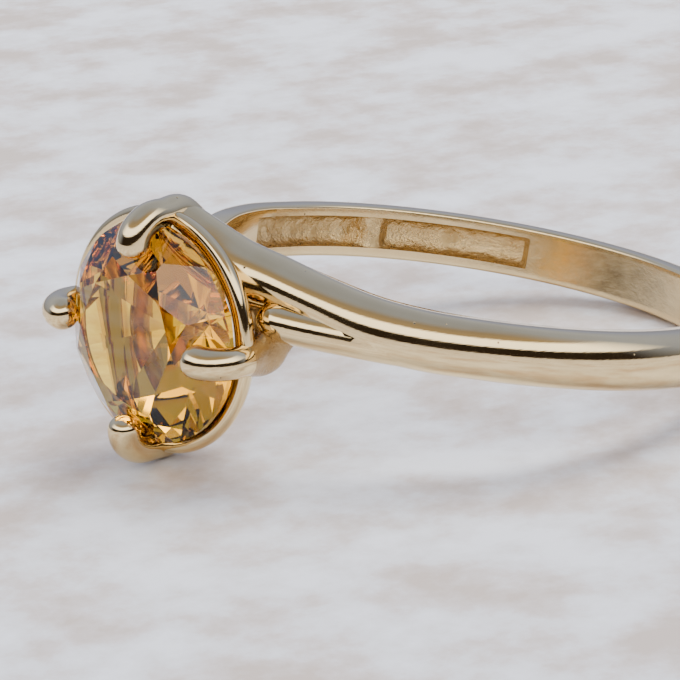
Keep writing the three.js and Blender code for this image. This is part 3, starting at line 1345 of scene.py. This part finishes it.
@dataclass
class Studio:
    """Plain pale floor, a soft sky and the camera.

    The camera's angles and distances are in the ring's own frame, in degrees and millimetres.
    The floor and the lamp are placed in metres. Ramp stops are the sine of the height in the sky.
    """

    azimuth: float = 65.4
    elevation: float = 12.54
    roll: float = 8.57
    distance: float = 129.35
    target: tuple[float, float, float] = (-9.71, 0.0, -4.35)
    lens: float = 185.3
    nearest: float = 0.001
    floor_size: float = 3.0
    cloud_mm: float = 5.0
    lamp_place: tuple[float, float, float] = (-0.12, 0.16, 0.42)
    lamp_size: float = 0.35
    lamp_watts: float = 3.0
    sky_strength: float = 3.4

    def camera(self) -> None:
        """Aims the camera at the ring from the near side."""
        a, e, r = radians(self.azimuth), radians(self.elevation), radians(self.roll)
        back = Vector((sin(a) * cos(e), -cos(a) * cos(e), sin(e)))
        level = (-back).cross(Vector((0, 0, 1))).normalized()
        up = level.cross(-back)
        right = level * cos(r) + up * sin(r)
        over = up * cos(r) - level * sin(r)
        turned = Matrix((right, over, back)).transposed().to_4x4()
        lying = POSE.to_quaternion().to_matrix().to_4x4()
        place = POSE @ (Vector(self.target) + back * self.distance)
        data = bpy.data.cameras.new("camera")
        data.lens = self.lens
        data.clip_start = self.nearest
        camera = bpy.data.objects.new("camera", data)
        camera.matrix_world = Matrix.Translation(place) @ lying @ turned
        bpy.context.collection.objects.link(camera)
        bpy.context.scene.camera = camera

    def floor(self) -> None:
        """Lays a plain floor of honed pale stone: matt, with faint warm clouds."""
        clear_selection()
        bpy.ops.mesh.primitive_plane_add(size=self.floor_size, location=(0, 0, 0))
        floor = bpy.context.object
        floor.name = "floor"
        made = empty_material("honed_pale_stone")
        tree = made.node_tree
        place = add_node(tree, "ShaderNodeTexCoord").outputs["Object"]
        clouds = add_node(
            tree,
            "ShaderNodeTexNoise",
            {
                "Vector": place,
                "Scale": 1 / (self.cloud_mm * MM),
                "Detail": 7.0,
                "Roughness": 0.62,
            },
        ).outputs["Fac"]
        colour = add_node(
            tree,
            "ShaderNodeValToRGB",
            {"Fac": clouds},
            stops=[
                (0.38, linear("C6B8AD")),
                (0.46, linear("D3CAC5")),
                (0.53, linear("DEDDDE")),
                (0.62, linear("E9EAED")),
            ],
        ).outputs["Color"]
        shader = add_node(
            tree, "ShaderNodeBsdfPrincipled", {"Base Color": colour, "Roughness": 0.6}
        ).outputs["BSDF"]
        add_node(tree, "ShaderNodeOutputMaterial", {"Surface": shader})
        floor.data.materials.append(made)

    def sky(self) -> None:
        """A soft sky behind the ring. On the camera's side, a dark room with a bright window."""
        world = bpy.data.worlds.new("soft_sky")
        bpy.context.scene.world = world
        world.use_nodes = True
        tree = world.node_tree
        tree.nodes.clear()
        way = add_node(tree, "ShaderNodeTexCoord").outputs["Generated"]
        height = add_node(tree, "ShaderNodeSeparateXYZ", {0: way}).outputs["Z"]
        turn = radians(self.azimuth)
        nearness = add_node(
            tree,
            "ShaderNodeVectorMath",
            {0: way, 1: (sin(turn), -cos(turn), 0.0)},
            operation="DOT_PRODUCT",
        ).outputs["Value"]
        near = add_node(
            tree, "ShaderNodeMapRange", {0: nearness, 1: -0.25, 2: 0.3, 3: 0.0, 4: 1.0}
        ).outputs[0]
        overhead = (0.13, 0.16, 0.25, 1.0)
        behind = add_node(
            tree,
            "ShaderNodeValToRGB",
            {"Fac": height},
            stops=[
                (0.0, (0.10, 0.11, 0.14, 1.0)),
                (0.25, (0.13, 0.16, 0.26, 1.0)),
                (0.6, (0.17, 0.21, 0.33, 1.0)),
                (1.0, overhead),
            ],
        ).outputs["Color"]
        room = add_node(
            tree,
            "ShaderNodeValToRGB",
            {"Fac": height},
            stops=[
                (0.0, (0.012, 0.009, 0.007, 1.0)),
                (0.34, (0.010, 0.008, 0.007, 1.0)),
                (0.40, (0.95, 0.95, 0.97, 1.0)),
                (0.68, (1.0, 1.0, 1.0, 1.0)),
                (0.75, (0.17, 0.14, 0.10, 1.0)),
                (0.90, (0.13, 0.115, 0.10, 1.0)),
                (1.0, overhead),
            ],
        ).outputs["Color"]
        light = add_node(
            tree, "ShaderNodeMix", {0: near, 6: behind, 7: room}, data_type="RGBA"
        ).outputs[2]
        backdrop = add_node(
            tree, "ShaderNodeBackground", {"Color": light, "Strength": self.sky_strength}
        ).outputs["Background"]
        add_node(tree, "ShaderNodeOutputWorld", {"Surface": backdrop})

    def lamp(self) -> None:
        """One broad soft lamp overhead, for the faint shadows. The gold mirrors only the sky."""
        data = bpy.data.lights.new("soft_overhead", "AREA")
        data.shape = "DISK"
        data.size = self.lamp_size
        data.energy = self.lamp_watts
        data.color = (1.0, 0.98, 0.95)
        lamp = bpy.data.objects.new("soft_overhead", data)
        place = Vector(self.lamp_place)
        lamp.matrix_world = (
            Matrix.Translation(place) @ (-place).to_track_quat("-Z", "Y").to_matrix().to_4x4()
        )
        lamp.visible_glossy = False
        bpy.context.collection.objects.link(lamp)

    def build(self) -> None:
        """Sets up floor, sky, lamp and camera."""
        self.floor()
        self.sky()
        self.lamp()
        self.camera()


def build_basket(finishes: Finishes) -> None:
    """Builds the two rails and the four claws.

    Args:
        finishes: The ring's materials.
    """
    bearing_inset = 0.1
    Rail(
        "bearing_rail",
        HEAD,
        depth=0.68,
        half_width=SIZES.stone_half_width - bearing_inset,
        half_height=SIZES.stone_half_height - bearing_inset,
        half_long=0.66,
        half_thin=0.33,
        lean=38.7,
    ).build(finishes.buffed)
    # The base rail gets the filed gold with painted shade: darker and browner for the shade under
    # the basket.
    Rail(
        "base_rail",
        BASE,
        depth=0.0,
        half_width=2.2,
        half_height=1.9,
        half_long=0.44,
        half_thin=0.4,
        lean=90,
    ).build(finishes.filed_gold_painted_shade)
    UprightClaw("claw_top", 90).build(finishes)
    UprightClaw("claw_bottom", 270).build(finishes)
    LeafClaw("claw_near", 0, leaf=((3.95, -1.95, 0.34), (4.22, -2.95, 0.72))).build(finishes)
    LeafClaw("claw_far", 180, leaf=((3.7, -2.5, 0.1), (2.9, -4.3, 0.3))).build(finishes)


def main() -> None:
    """Builds the ring piece by piece, then the studio."""
    logging.basicConfig(level=logging.INFO, format="%(message)s")
    finishes = Finishes.made()
    Shank().build(finishes)
    OverArm().build(finishes)
    UnderArm().build(finishes)
    build_basket(finishes)
    CutStone().build(finishes)
    Studio().build()
    bpy.context.view_layer.update()


if __name__ == "__main__":
    main()
